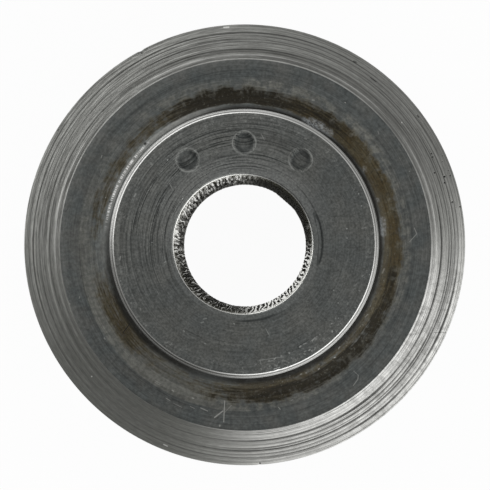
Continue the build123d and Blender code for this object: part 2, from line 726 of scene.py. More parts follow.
def speckle(vector, scale, detail=2.0, roughness=0.5):
    """Cloudy values from 0 to 1."""
    return put(vector.id_data, "TexNoise", vector, None, scale, detail, roughness).outputs[0]


def stack(x, y, z):
    """A vector made from three numbers, at least one of them from another node."""
    return put(tree_of((x, y, z)), "CombineXYZ", x, y, z).outputs[0]


def part(vector, number):
    """One of a vector's three numbers."""
    return put(vector.id_data, "SeparateXYZ", vector).outputs[number]


# %% [markdown]
# A group is a small tree that other trees can use. What it takes and what it gives are named, and
# the finishes feed it by those names.

# %% Helpers for groups


def new_group(name, takes, gives):
    """An empty node group with those sockets. Returns it with what it takes and what it gives."""
    group = bpy.data.node_groups.new(name, "ShaderNodeTree")
    for label, start in takes.items():
        kind = "NodeSocketVector" if start is None else "NodeSocketFloat"
        socket = group.interface.new_socket(label, in_out="INPUT", socket_type=kind)
        if start is not None:
            socket.default_value = start
    for label, kind in gives.items():
        group.interface.new_socket(label, in_out="OUTPUT", socket_type="NodeSocket" + kind)
    taken = group.nodes.new("NodeGroupInput").outputs
    given = group.nodes.new("NodeGroupOutput").inputs
    return group, taken, given


def use(group, **feeds):
    """Places a group in the tree that its feeds come from, and returns its outputs."""
    node = tree_of(feeds.values()).nodes.new("ShaderNodeGroup")
    node.node_tree = group
    for name, value in feeds.items():
        feed(node.inputs[name], value)
    return node.outputs


# %% [markdown]
# ## Effects that the finishes share
#
# A turned part is best described by how far along its surface a place lies, and by its heading
# round the axis. The first group works those out. The heading is kept as a direction and not as an
# angle: a pattern made from a direction meets itself without a seam.

# %% Group: place on the wheel
wheel_place, taken, given = new_group(
    "wheel_place",
    {"Object": None},
    {"Place": "Vector", "Radius": "Float", "Across": "Float", "Heading": "Vector"},
)
in_mm = vector_calc("SCALE", taken["Object"], scale=1 / MM)
flat = vector_calc("MULTIPLY", in_mm, (1, 1, 0))
radius = vector_calc("LENGTH", flat)
feed(given["Place"], in_mm)
feed(given["Radius"], radius)
feed(given["Across"], calc("SUBTRACT", radius, calc("ABSOLUTE", part(in_mm, 2))))
feed(given["Heading"], vector_calc("NORMALIZE", flat))

# %% [markdown]
# Turning lines are noise that changes fast across the tool's path and slowly along it, so they run
# round the wheel as fine arcs that fade in and out, as the marks of a lathe tool do.

# %% Group: turning lines
turning_lines, taken, given = new_group(
    "turning_lines",
    {"Heading": None, "Across": 0, "Pitch": 0.1, "Streak": 2, "Seed": 0},
    {"Lines": "Float"},
)
across = stack(0, 0, calc("DIVIDE", taken["Across"], taken["Pitch"]))
around = vector_calc("SCALE", taken["Heading"], scale=taken["Streak"])
where = vector_calc("ADD", vector_calc("ADD", around, across), stack(taken["Seed"], 0, 0))
feed(given["Lines"], stretched(speckle(where, 1, 3, 0.6)))

# %% [markdown]
# Two masks tell the finishes where something lies: a sector is one side of the wheel, and a ring
# is a band between two radii, with soft edges.

# %% Groups: sector and ring
# a sector is at its full strength over this part of its spread, and fades over the rest
FULL_PART = 0.4
sector, taken, given = new_group(
    "sector", {"Heading": None, "Toward": 0, "Spread": 30}, {"Mask": "Float"}
)
angle = calc("RADIANS", taken["Toward"])
toward = stack(calc("COSINE", angle), calc("SINE", angle), 0)
facing = vector_calc("DOT_PRODUCT", taken["Heading"], toward)
spread = calc("RADIANS", taken["Spread"])
full = calc("COSINE", calc("MULTIPLY", spread, FULL_PART))
feed(given["Mask"], fade(facing, calc("COSINE", spread), full))

ring, taken, given = new_group(
    "ring", {"Radius": 0, "From": 0, "To": 1, "Soft": 0.1}, {"Mask": "Float"}
)
outside = fade(taken["Radius"], calc("SUBTRACT", taken["From"], taken["Soft"]), taken["From"])
inside = fade(taken["Radius"], taken["To"], calc("ADD", taken["To"], taken["Soft"]), 1, 0)
feed(given["Mask"], calc("MULTIPLY", outside, inside))

# %% [markdown]
# Small scratches and specks are the cells of a Voronoi pattern that has been squeezed in one
# direction. Only a share of the cells is used, so they lie scattered, and each is a thin dash, or a
# dot where its length is its width.

# %% Group: scattered dashes
dashes, taken, given = new_group(
    "dashes",
    {"Place": None, "Turn": 0, "Length": 1, "Width": 0.05, "Spacing": 1, "Share": 0.2},
    {"Mask": "Float"},
)
turned = put(dashes, "VectorRotate", taken["Place"], rotation_type="Z_AXIS")
feed(turned.inputs["Angle"], calc("RADIANS", taken["Turn"]))
squeeze = stack(calc("DIVIDE", taken["Width"], taken["Length"]), 1, 1)
squeezed = vector_calc("MULTIPLY", turned.outputs[0], squeeze)
scale = calc("DIVIDE", 1, taken["Spacing"])
cells = put(dashes, "TexVoronoi", squeezed, None, scale, feature="F1").outputs
reach = calc("MULTIPLY", cells["Distance"], taken["Spacing"])
dash = fade(reach, calc("MULTIPLY", taken["Width"], 0.25), taken["Width"], 1, 0)
chance = put(dashes, "SeparateColor", cells["Color"]).outputs[0]
feed(given["Mask"], calc("MULTIPLY", dash, calc("LESS_THAN", chance, taken["Share"])))

# %% [markdown]
# A scratch that can be seen from a step away has its own start and end. The group measures how far
# a place lies from the line between them. A pit is a scratch that ends where it starts. Only the
# upper side has such marks.

# %% Group: one scratch
scratch, taken, given = new_group(
    "scratch", {"Place": None, "Start": None, "End": None, "Width": 0.06}, {"Mask": "Float"}
)
flat = vector_calc("MULTIPLY", taken["Place"], (1, 1, 0))
from_start = vector_calc("SUBTRACT", flat, taken["Start"])
whole = vector_calc("SUBTRACT", taken["End"], taken["Start"])
# a pit has no length to divide by, so it gets a tiny one
NO_LENGTH = 1e-6
gone = vector_calc("DOT_PRODUCT", from_start, whole)
length = calc("MAXIMUM", vector_calc("DOT_PRODUCT", whole, whole), NO_LENGTH)
along = put(scratch, "Clamp", calc("DIVIDE", gone, length), 0, 1).outputs[0]
nearest = vector_calc("SCALE", whole, scale=along)
gap = vector_calc("DISTANCE", from_start, nearest)
above = calc("GREATER_THAN", part(taken["Place"], 2), 0)
thin = fade(gap, calc("MULTIPLY", taken["Width"], 0.3), taken["Width"], 1, 0)
feed(given["Mask"], calc("MULTIPLY", thin, above))
print("effects:", [group.name for group in bpy.data.node_groups])

# %% [markdown]
# ## Finishes
#
# Each finish starts from the same steps: read the place, make the lines, mix the colours, and
# press the height into the normal with a bump. The tangent runs round the axis, and the
# anisotropy stretches each highlight across the lines, as fine grooves do.

# %% Start and end a finish
QUARTER_TURN = 0.25


def start_finish(name, anisotropy):
    """An empty metal, and the place on the wheel that its patterns are made from."""
    material = bpy.data.materials.new(name)
    material.use_nodes = True
    tree = material.node_tree
    steel = tree.nodes["Principled BSDF"]
    feed(steel.inputs["Metallic"], 1)
    feed(steel.inputs["Anisotropic"], anisotropy)
    feed(steel.inputs["Anisotropic Rotation"], QUARTER_TURN)
    feed(steel.inputs["Tangent"], put(tree, "Tangent", direction_type="RADIAL", axis="Z").outputs[0])
    return steel, use(wheel_place, Object=put(tree, "TexCoord").outputs["Object"])


def finish_with(steel, colour, roughness, height, depth):
    """Feeds the metal: its colour, its roughness, and a height whose full range is that depth."""
    bump = put(steel.id_data, "Bump", 1, depth * MM)
    feed(bump.inputs["Height"], height)
    feed(steel.inputs["Base Color"], colour)
    feed(steel.inputs["Roughness"], roughness)
    feed(steel.inputs["Normal"], bump.outputs[0])
    print(f"{len(steel.id_data.nodes)} nodes, and a relief of {depth} mm")


# %% [markdown]
# Most of a finish is said in a few words: what lies on which side of the wheel, between which
# radii, and how strongly. So each of those words is a small helper, and the colours are laid over
# each other one by one, as on the real wheel: steel, skin, dirt, and scratches last.

# %% Words for sums


def chain(operation):
    """A helper that joins any number of values with one kind of sum."""

    def join(first, *others):
        for other in others:
            first = calc(operation, first, other)
        return first

    return join


times = chain("MULTIPLY")
plus = chain("ADD")
highest = chain("MAXIMUM")

# %% [markdown]
# What a pattern needs is only the place on the wheel. It can be a strength that was painted on, a
# cloud, a set of turning lines, a side, a band, or the part of a band that lies on one side.

# %% Words for patterns and places


def painted_on(spot, name):
    """A strength that was kept with the vertices."""
    return put(tree_of(spot), "Attribute", attribute_name=name).outputs["Fac"]


def cloudy(spot, scale, detail=2, roughness=0.5):
    """Cloudy values over the wheel, from 0 to 1."""
    return speckle(spot["Place"], scale, detail, roughness)


def lathe_lines(spot, pitch, streak, seed=0):
    """Turning lines at that pitch in millimetres."""
    feeds = {"Heading": spot["Heading"], "Across": spot["Across"]}
    return use(turning_lines, Pitch=pitch, Streak=streak, Seed=seed, **feeds)["Lines"]


def on_side(spot, toward, spread):
    """1 on the side of the wheel with that heading, fading to 0 at the spread, in degrees."""
    return use(sector, Heading=spot["Heading"], Toward=toward, Spread=spread)["Mask"]


def in_band(spot, start, end, soft):
    """1 from one radius to another, fading to 0 over the soft distance on each side."""
    return use(ring, Radius=spot["Radius"], From=start, To=end, Soft=soft)["Mask"]


def arc(spot, toward, spread, start, end, soft):
    """1 in the part of a band that lies on one side."""
    return times(in_band(spot, start, end, soft), on_side(spot, toward, spread))


# %% [markdown]
# A pattern changes a colour in one of two ways: it makes the colour lighter and darker, as the
# relief of a groove does, or it lays another colour over it, as dirt does.

# %% Words for colours


def toned(colour, value, amount):
    """A colour made darker or lighter by a value from 0 to 1, by at most that amount."""
    factor = plus(times(plus(value, -0.5), amount, 2), 1)
    return vector_calc("SCALE", colour, scale=factor)


def laid_over(ground, colour, *shares):
    """A colour laid over the ground, as strongly as the shares multiplied."""
    return blend(times(*shares), ground, colour)


def layered(ground, *coats):
    """Coats laid over the ground one by one, each with its colour and its shares."""
    for colour, *shares in coats:
        ground = laid_over(ground, colour, *shares)
    return ground


# %% [markdown]
# Marks come in two kinds. Those that nobody would miss are scattered by a pattern, and those that
# catch the eye are listed one by one, by heading and radius, so that each can be moved.

# %% Words for the marks


def scattered(spot, length, width, spacing, share, turn=0):
    """Dashes of that length and width, about that far apart, of which a share shows."""
    sizes = {"Turn": turn, "Length": length, "Width": width, "Spacing": spacing, "Share": share}
    return use(dashes, Place=spot["Place"], **sizes)["Mask"]


def on_wheel(heading, radius):
    """The place at that heading and radius, as x, y and 0 in millimetres."""
    angle = math.radians(heading)
    return (radius * math.cos(angle), radius * math.sin(angle), 0)


def drawn_marks(spot, marks):
    """One mask for a list of marks.

    A mark is the heading and radius of its start, those of its end, its width in millimetres and
    its strength. A dot has only one place.
    """
    masks = []
    for *ends, width, strength in marks:
        line = {"Start": on_wheel(*ends[:2]), "End": on_wheel(*ends[-2:]), "Width": width}
        masks.append(times(use(scratch, Place=spot["Place"], **line)["Mask"], strength))
    return highest(*masks)


# %% [markdown]
# ### Turned faces of the hub
#
# The end faces carry the lines of the facing tool under a thin dark skin from hardening. On one
# side the tool dug in harder, and its lines show as broken dark arcs. That side also faces the
# light, so it is painted lighter, with stronger lines, and the upper side of the face by the bore is
# painted lighter too: painted light.

# %% Turned face: skin and lines
steel, spot = start_finish("turned_face", 0.5)
lines = lathe_lines(spot, 0.10, 1.3)
fine = lathe_lines(spot, 0.05, 5, 4)
broken = lathe_lines(spot, 0.085, 1.6, 9)
clouds = cloudy(spot, 0.5, 3)
blots = stretched(cloudy(spot, 1.7, 4, 0.65))

dug_and_lit_side = on_side(spot, 128, 100)
deeper_and_lit_lines = graded(dug_and_lit_side, 0.4, 1)
dug = times(dug_and_lit_side, in_band(spot, 5.5, 8, 0.7))
dark_arcs = times(fade(broken, 0.42, 0.1), plus(dug, 0.25))

skin = blend(stretched(clouds), (0.116, 0.123, 0.119), (0.136, 0.139, 0.13))
# painted light: lighter on the side that faces the light
skin = laid_over(skin, (0.175, 0.178, 0.168), dug_and_lit_side, 0.36)
skin = toned(skin, lines, times(deeper_and_lit_lines, 0.28))
skin = layered(
    toned(skin, blots, 0.13),
    # painted light: lighter on the upper side of the face by the bore
    ((0.25, 0.255, 0.245), arc(spot, 100, 110, 4.8, 5.7, 1), 0.38),
    ((0.25, 0.26, 0.255), in_band(spot, 4.8, 5.3, 0.12), 0.22),
    ((0.03, 0.033, 0.032), dark_arcs, 0.6),
)

# %% [markdown]
# Near the rim the skin is speckled where the wheel has rubbed against the fork of its cutter, and
# on one side it is pocked in two chains. By the mouth of the bore, a few arcs are scored.

# %% Turned face: wear
rubbed = times(in_band(spot, 8.55, 9.2, 0.35), fade(cloudy(spot, 1.1, 2), 0.4, 0.6))
chains = highest(in_band(spot, 8.28, 8.36, 0.12), in_band(spot, 8.7, 8.84, 0.14))
pocks = times(fade(cloudy(spot, 3.7, 2, 0.6), 0.55, 0.66), chains)
sparse = fade(cloudy(spot, 0.9, 3, 0.6), 0.42, 0.6)
pocks = times(pocks, on_side(spot, 300, 52), sparse)
faint = times(highest(on_side(spot, 283, 26), on_side(spot, 28, 26)), 0.5)
scored = times(in_band(spot, 5.435, 5.455, 0.045), highest(on_side(spot, 2, 20), faint))
skin = layered(
    skin,
    ((0.34, 0.345, 0.33), rubbed, fade(cloudy(spot, 5, 3, 0.7), 0.54, 0.68), 0.5),
    ((0.42, 0.43, 0.41), pocks, 0.75),
    ((0.012, 0.013, 0.012), scored, 0.9),
    ((0.55, 0.56, 0.54), scattered(spot, 0.06, 0.055, 0.5, 0.24), 0.7),
    ((0.045, 0.048, 0.046), fade(cloudy(spot, 5, 4, 0.75), 0.42, 0.32), 0.5),
)
skin = toned(skin, stretched(cloudy(spot, 6, 2, 0.6)), 0.22)
nicks = scattered(spot, 0.45, 0.045, 0.3, 0.09, turn=62)
skin = laid_over(skin, (0.4, 0.41, 0.39), nicks, 0.5)

# %% [markdown]
# The punch marks are read back from the vertices: painted shade lies where the face is pressed in,
# most of all on the slope, and the raised lip is rubbed bright.

# %% Turned face: punch marks
sunk = painted_on(spot, "pressed")
# painted shade on the slope of each hollow, less at its bottom
slope = times(fade(sunk, 0.02, 0.14), fade(sunk, 0.3, 0.5, 1, 0.3))
skin = laid_over(skin, (0.03, 0.034, 0.034), slope, 0.62)
lip = times(fade(painted_on(spot, "raised"), 0.6, 0.95), fade(blots, 0, 0.8, 0.3, 1))
skin = laid_over(skin, (0.4, 0.41, 0.39), lip, 0.6)

# %% [markdown]
# A worn face has a few scuffs of its own, each listed by its place. None is deep, so they only
# change the colour. The relief puts the lines, the dug arcs, the pocks and the scores together.

# %% Turned face: marks that can be told apart
# heading and radius of both ends, or of a dot, and then the width and the strength
PALE_FACE_MARKS = (
    (277.5, 8.22, 289, 8.38, 0.045, 0.3),
    (278, 8.55, 277.8, 8.25, 0.045, 0.3),
    (298.3, 8.20, 298.9, 8.18, 0.08, 0.6),
    (300.6, 8.16, 301.8, 8.20, 0.06, 0.45),
    (305, 8.28, 306.8, 8.24, 0.07, 0.5),
    (283.3, 9.02, 286, 9.00, 0.05, 0.7),
    (7.5, 8.60, 7.4, 8.28, 0.04, 0.3),
    (23.5, 8.72, 0.07, 0.6),
    (155.4, 8.34, 157, 8.36, 0.07, 0.4),
    (186, 8.70, 187.4, 8.76, 0.06, 0.45),
    (193.3, 5.72, 193, 5.64, 0.06, 0.45),
    (241.5, 6.30, 242.6, 6.18, 0.07, 0.3),
    (332.4, 7.06, 0.07, 0.5),
    (344.2, 8.55, 345, 8.60, 0.05, 0.35),
    (241.8, 5.98, 243.2, 5.85, 0.07, 0.3),
    (235.2, 7.42, 235.8, 7.42, 0.06, 0.4),
    (248.5, 7.50, 248.9, 7.50, 0.06, 0.4),
    (262.6, 5.64, 263.2, 5.66, 0.06, 0.5),
)
DARK_FACE_MARKS = (
    (284.7, 9.09, 0.07, 0.9),
    (297, 8.12, 304, 8.10, 0.05, 0.5),
    (297.4, 8.26, 297.6, 8.26, 0.06, 0.5),
    (238, 7.25, 246, 7.22, 0.04, 0.3),
    (252, 7.02, 260, 7.00, 0.05, 0.3),
)
skin = laid_over(skin, (0.5, 0.51, 0.49), drawn_marks(spot, PALE_FACE_MARKS))
skin = laid_over(skin, (0.014, 0.015, 0.014), drawn_marks(spot, DARK_FACE_MARKS))
grit = cloudy(spot, 9, 2)
height = plus(times(lines, deeper_and_lit_lines), times(fine, 0.4), times(dark_arcs, -1.2))
height = plus(height, times(grit, 0.3), times(pocks, 2), times(scored, -2.5))
finish_with(steel, skin, graded(fine, 0.34, 0.46), height, 0.006)

# %% [markdown]
# ### Bright rims
#
# The chamfer round the hub and the broken edges of the bore are the places that a hand or another
# part touches first, so they are rubbed bright, and the corner between the chamfer and the face is
# painted brightest, as a painted highlight. The sides that face the light are brighter, as rubbed
# wear and painted highlight, the side away from the light is painted darker as painted shade, with
# a few painted glints, and the grooves between the ridges are darker.

# %% Bright rim
# the broken edges of the bore lie inside this radius
MOUTH_WITHIN = 6
steel, spot = start_finish("bright_rim", 0.4)
lines = lathe_lines(spot, 0.05, 1.2)
grit = cloudy(spot, 6, 2)
rubbed_and_lit_side = on_side(spot, 125, 68)
dull_and_shaded_side = on_side(spot, 228, 58)
corner = in_band(spot, 9.08, 9.18, 0.05)
polish_and_highlight = plus(times(highest(rubbed_and_lit_side, on_side(spot, 304, 56)), 0.65), 0.15)
mouth = calc("LESS_THAN", spot["Radius"], MOUTH_WITHIN)
colour = layered(
    blend(lines, (0.25, 0.252, 0.24), (0.37, 0.37, 0.355)),
    # rubbed wear and painted highlight on a side that faces the light
    ((0.62, 0.62, 0.6), rubbed_and_lit_side, 0.6),
    # painted shade on the side away from the light
    ((0.09, 0.09, 0.082), dull_and_shaded_side, 0.74),
    ((0.6, 0.6, 0.58), on_side(spot, 32, 45), 0.17),
    # painted highlight on the corner, brightest on the sides that face the light
    ((0.88, 0.88, 0.86), corner, polish_and_highlight),
    ((0.8, 0.8, 0.78), in_band(spot, 9.37, 9.5, 0.06), polish_and_highlight, 0.65),
    ((0.06, 0.06, 0.055), fade(grit, 0.34, 0.22, 0, 0.4)),
    ((0.04, 0.04, 0.037), painted_on(spot, "pressed"), 0.85),
    ((0.85, 0.85, 0.82), mouth, 0.9),
    # painted shade: the mouth is darker where its chamfer faces away from the light
    ((0.58, 0.585, 0.57), mouth, on_side(spot, 48, 60), 0.9),
    # painted glints on the corner, on the side away from the light
    ((0.8, 0.8, 0.78), scattered(spot, 0.1, 0.06, 0.26, 0.25), dull_and_shaded_side, corner, 0.7),
)
finish_with(steel, colour, stretched(grit, 0.25, 0.36), lines, 0.004)

# %% [markdown]
# ### Dark skin of the wall, the root and the flank
#
# The heat of hardening leaves a thin grey-blue skin. Round it lie the patches that were painted on
# the vertices: the greasy film is olive and a little paler, the stain is brown, and the grime and
# the painted shade in the corner nearly black.

# %% Dark skin: the steel and its film
steel, spot = start_finish("dark_skin", 0.3)
feed(steel.inputs["Specular IOR Level"], 0.16)
lines = lathe_lines(spot, 0.13, 2)
wiping = lathe_lines(spot, 0.22, 7, 3)
clouds = cloudy(spot, 0.6, 3)
smudges = cloudy(spot, 2.2, 4, 0.65)
mottle = cloudy(spot, 1.1, 4, 0.6)

skin = blend(stretched(clouds), (0.101, 0.11, 0.108), (0.122, 0.125, 0.118))
wisps = plus(times(mottle, 0.6), times(smudges, 0.4))
thinnest = graded(on_side(spot, 212, 66), 0.12, 0.58)
film = times(painted_on(spot, "film"), fade(wisps, 0.4, 0.6, thinnest, 1.1))
film = calc("MINIMUM", film, 0.74)
skin = laid_over(skin, (0.184, 0.184, 0.164), film)
skin = toned(skin, lines, 0.14)
skin = toned(skin, lathe_lines(spot, 0.34, 1.5, 12), 0.1)
skin = toned(skin, stretched(smudges), 0.12)
# painted light: the skin is a little lighter on the side that faces the light, and darker across from
# it
skin_lit_side = on_side(spot, 130, 150)
skin = vector_calc("SCALE", skin, scale=graded(skin_lit_side, 0.94, 1.05))
# painted highlight: the flank is paler towards the rim on the side that faces the light
skin = laid_over(skin, (0.2, 0.205, 0.195), arc(spot, 138, 85, 13.7, 14, 0.75), 0.36)
shadow = arc(spot, 290, 120, 12.4, 12.5, 0.16)
shadow = highest(shadow, arc(spot, 120, 65, 12.72, 12.86, 0.16))
skin = laid_over(skin, (0.06, 0.066, 0.065), shadow, graded(lines, 0.4, 0.15))

# %% [markdown]
# The edges of the stain are torn by noise that runs round the wheel, because it was wiped that
# way. Where the dark stain lies too, the brown deepens.

# %% Dark skin: stain
torn = plus(times(wiping, 0.35), times(smudges, 0.8), times(mottle, 0.9))
stain = plus(painted_on(spot, "stain"), torn, -1.02)
stain = times(fade(stain, 0.05, 0.8), fade(painted_on(spot, "stain"), 0.02, 0.2))
deep = plus(painted_on(spot, "dark_stain"), times(wiping, 0.5), mottle, -0.75)
brown = layered(
    blend(fade(mottle, 0.38, 0.62), (0.05, 0.0355, 0.0125), (0.074, 0.0615, 0.034)),
    ((0.013, 0.0095, 0.003), fade(deep, 0, 0.8)),
    ((0.16, 0.155, 0.13), fade(cloudy(spot, 5, 3, 0.7), 0.58, 0.7), 0.4),
    ((0.018, 0.014, 0.006), fade(cloudy(spot, 3.4, 3, 0.7), 0.46, 0.34), 0.45),
)
skin = laid_over(skin, brown, stain, 0.95)
skin = toned(skin, lathe_lines(spot, 0.2, 3, 17), times(stain, 0.26))

# %% [markdown]
# A rag has dragged pale streaks of the old grease out of the stain, at a slant, and it hasn't
# reached the grime and the painted shade in the corner.

# %% Dark skin: wiped streaks, and grime with painted shade
around = vector_calc("SCALE", spot["Heading"], scale=13)
slanting = vector_calc("ADD", around, vector_calc("SCALE", spot["Place"], scale=1.2))
streaks = fade(speckle(slanting, 1, 3, 0.65), 0.46, 0.7)
streaked = graded(on_side(spot, 62, 75), 0.25, 0.5)
streaks = times(streaks, in_band(spot, 11.3, 11.9, 0.5), streaked)
streaks = times(streaks, fade(mottle, 0.42, 0.58, 0.3, 1))
skin = laid_over(skin, (0.18, 0.178, 0.155), streaks)
# painted shade and grime, nearly black in the corner at the foot of the wall
grime = times(painted_on(spot, "grime"), fade(smudges, 0.25, 0.6, 0.75, 1))
skin = laid_over(skin, (0.011, 0.0105, 0.008), grime)
skin = toned(skin, stretched(cloudy(spot, 4.5, 3, 0.6)), 0.18)

# %% [markdown]
# In the corner of the root a narrow ring, rubbed by the tool that turned the blade, is painted
# bright on the side that faces the light, as a painted reflection. The tool trembled there, so on
# one side the ring is made of short ticks that point at the axis. On other sides the corner is a
# crumbly ledge, and a dark line of painted shade lies at the foot of the wall.

# %% Dark skin: the rubbed ring
ticks = speckle(vector_calc("SCALE", spot["Heading"], scale=130), 1, 1)
ticks = times(arc(spot, 153, 23, 10.2, 10.3, 0.07), fade(ticks, 0.47, 0.59))
# painted reflection: the rubbed ring is bright only on the side that faces the light
lit_rubbed_ring = times(arc(spot, 137, 43, 10.04, 10.32, 0.12), fade(smudges, 0.3, 0.6, 0.6, 1))
ledge = in_band(spot, 10.2, 10.5, 0.2)
crumbly = times(ledge, on_side(spot, 312, 58))
sooty = highest(times(fade(cloudy(spot, 4, 3, 0.7), 0.5, 0.36), 0.6), 0.17)
chalky = fade(cloudy(spot, 4.6, 3, 0.7), 0.6, 0.72)
skin = layered(
    skin,
    ((0.36, 0.36, 0.34), lit_rubbed_ring, 0.48),
    ((0.24, 0.23, 0.19), ledge, on_side(spot, 357, 36), 0.1),
    ((0.017, 0.015, 0.01), crumbly, sooty),
    ((0.3, 0.3, 0.28), crumbly, chalky, 0.5),
    # painted shade: a dark line at the foot of the wall
    ((0.01, 0.0095, 0.007), arc(spot, 45, 85, 9, 10, 0.07), 0.85),
    ((0.95, 0.95, 0.93), ticks, 0.6),
)

# %% [markdown]
# A few marks are large enough to be told apart, so each is drawn by itself: a pale scratch like an
# upturned V on the flank, a curled one, a dark one across the root, and a crust of pale scale.

# %% Dark skin: lists of marks
# heading and radius of both ends, or of a dot, and then the width and the strength
PALE_MARKS = (
    (263.3, 13.2, 262.8, 11.64, 0.055, 0.55),
    (260.2, 12.97, 262.6, 12.4, 0.07, 0.6),
    (262.9, 12.60, 265.4, 11.90, 0.045, 0.25),
    (262.2, 13.50, 262.2, 13.54, 0.09, 0.5),
    (307.6, 13.16, 310, 13.02, 0.045, 0.4),
    (310, 13.02, 311, 12.80, 0.045, 0.4),
    (311, 12.80, 310.8, 12.36, 0.04, 0.25),
    (293.3, 10.37, 293.8, 10.39, 0.06, 0.3),
    (300.6, 10.67, 301.2, 10.64, 0.06, 0.3),
    (308.3, 10.62, 308.9, 10.66, 0.06, 0.35),
    (312.2, 10.28, 312.9, 10.26, 0.06, 0.3),
    (329, 10.33, 330.4, 10.4, 0.07, 0.2),
    (348.3, 10.34, 350, 10.4, 0.08, 0.2),
    (1, 12.2, 3.5, 12.75, 0.045, 0.35),
    (3.5, 12.75, 5.5, 12.6, 0.05, 0.4),
    (255, 12.5, 257.5, 12.6, 0.05, 0.5),
    (251.5, 12.62, 253, 12.66, 0.04, 0.35),
    (243, 12.75, 244.5, 12.78, 0.04, 0.4),
    (246, 12.85, 249, 12.9, 0.03, 0.3),
    (236.8, 12.02, 238.8, 12, 0.045, 0.3),
    (236.9, 12.14, 238.9, 12.12, 0.045, 0.3),
    (148, 12.42, 148.8, 12.38, 0.05, 0.4),
    (197.6, 12.78, 198, 12.82, 0.05, 0.35),
    (198.6, 13.66, 199, 13.68, 0.06, 0.4),
    (213.7, 12.45, 214.2, 12.45, 0.06, 0.4),
    (243.6, 12.00, 244.2, 12.03, 0.06, 0.45),
    (251.3, 11.96, 251.7, 11.96, 0.07, 0.45),
    (54.5, 12.86, 54.7, 12.86, 0.06, 0.6),
    (39.4, 12.85, 40.2, 12.92, 0.06, 0.25),
    (64.2, 11.82, 64.9, 11.78, 0.06, 0.4),
    (281.8, 12.28, 282.2, 12.45, 0.05, 0.4),
    (286.6, 12.02, 287.3, 12.00, 0.05, 0.3),
)
DARK_MARKS = (
    (216, 11.05, 214.8, 10.2, 0.05, 0.9),
    (134.6, 10.38, 0.14, 0.9),
    (162.5, 10.35, 0.11, 0.8),
    (308, 11.2, 0.09, 0.6),
    (302.2, 10.45, 302.6, 10.43, 0.1, 0.5),
    (337.2, 10.41, 337.5, 10.41, 0.12, 0.45),
    (323, 10.55, 324, 10.56, 0.06, 0.4),
    (180, 12.2, 188, 12.24, 0.05, 0.3),
    (188, 12.24, 196, 12.3, 0.05, 0.3),
    (196, 12.3, 204, 12.38, 0.05, 0.3),
    (204, 12.38, 213, 12.47, 0.05, 0.25),
    (239, 12.5, 243, 12.52, 0.04, 0.3),
    (245, 12.6, 250, 12.62, 0.04, 0.3),
    (168.6, 13.35, 169.6, 13.45, 0.05, 0.4),
)
SCALE_PATCHES = (
    (52.5, 10.3, 57.5, 10.24, 0.4, 0.6),
    (57, 10.3, 61.5, 10.2, 0.46, 1),
    (61, 10.15, 64.5, 10.12, 0.25, 0.7),
    (4.5, 10.2, 10, 10.3, 0.34, 0.6),
    (18, 10.3, 18.6, 10.3, 0.2, 0.35),
    (31.5, 10.35, 32.5, 10.42, 0.24, 0.35),
)
pale = drawn_marks(spot, PALE_MARKS)
dark = drawn_marks(spot, DARK_MARKS)
crust = drawn_marks(spot, SCALE_PATCHES)
print(len(PALE_MARKS), "pale marks,", len(DARK_MARKS), "dark ones and", len(SCALE_PATCHES), "of scale")

# %% [markdown]
# The crust is broken up into pale and black crumbs, and the rest of the marks are scattered specks
# and wiped dashes. All of them lie on top of the stain.

# %% Dark skin: scattered and drawn marks
black_crumbs = fade(cloudy(spot, 6.5, 2, 0.6), 0.46, 0.36)
black_crumbs = times(black_crumbs, fade(crust, 0.5, 0.9))
crumbs = fade(cloudy(spot, 5, 3, 0.7), 0.36, 0.62)
crust = times(crust, plus(times(crumbs, 0.5), 0.15))
ledge_line = times(arc(spot, 308, 44, 10.78, 10.8, 0.05), fade(wiping, 0.25, 0.55))
wiped_dashes = scattered(spot, 1.6, 0.07, 0.3, 0.3, turn=-55)
skin = layered(
    skin,
    ((0.01, 0.009, 0.006), ledge_line, 0.65),
    ((0.42, 0.43, 0.41), scattered(spot, 0.07, 0.06, 0.8, 0.14), 0.6),
    ((0.3, 0.31, 0.29), wiped_dashes, arc(spot, 322, 45, 11.9, 13.5, 0.3), 0.22),
    ((0.5, 0.5, 0.47), pale),
    ((0.012, 0.012, 0.012), dark),
    ((0.4, 0.42, 0.43), crust),
    ((0.012, 0.012, 0.013), black_crumbs, 0.9),
)

# %% [markdown]
# Grease and rust aren't metal, so they turn the shine down and make the surface rougher.

# %% Dark skin: shine and relief
dirty = highest(times(stain, 0.75), times(grime, 0.7))
shine = calc("SUBTRACT", 1, highest(dirty, times(film, 0.3)))
feed(steel.inputs["Metallic"], shine)
roughness = plus(stretched(clouds, 0.36, 0.44), times(dirty, 0.22))
height = plus(times(lines, 0.5), times(smudges, stain, 1.5), times(crust, 2.5), times(dark, -3))
finish_with(steel, skin, roughness, height, 0.006)

# %% [markdown]
# ### Ground bevel
#
# The bevel is cut last, so it has no dark skin: it is clean steel with fine lines, and its grooves
# are darker. Its colour changes from side to side: it is painted brighter on the side that faces the
# light, as a painted highlight, and duller on the others, darkest away from the light as painted
# shade.

# %% Ground bevel: lines and sides
steel, spot = start_finish("ground_bevel", 0.65)
lines = lathe_lines(spot, 0.12, 1.3)
hair = lathe_lines(spot, 0.13, 1.6, 5)
short = lathe_lines(spot, 0.11, 8, 8)
patches = cloudy(spot, 1.3, 3)
bevel_lit_side = on_side(spot, 313, 56)
smooth_side = on_side(spot, SMOOTH_SIDE, 55)
streaky = on_side(spot, 140, 75)
rough_cut = calc("SUBTRACT", 1, times(smooth_side, 0.62))

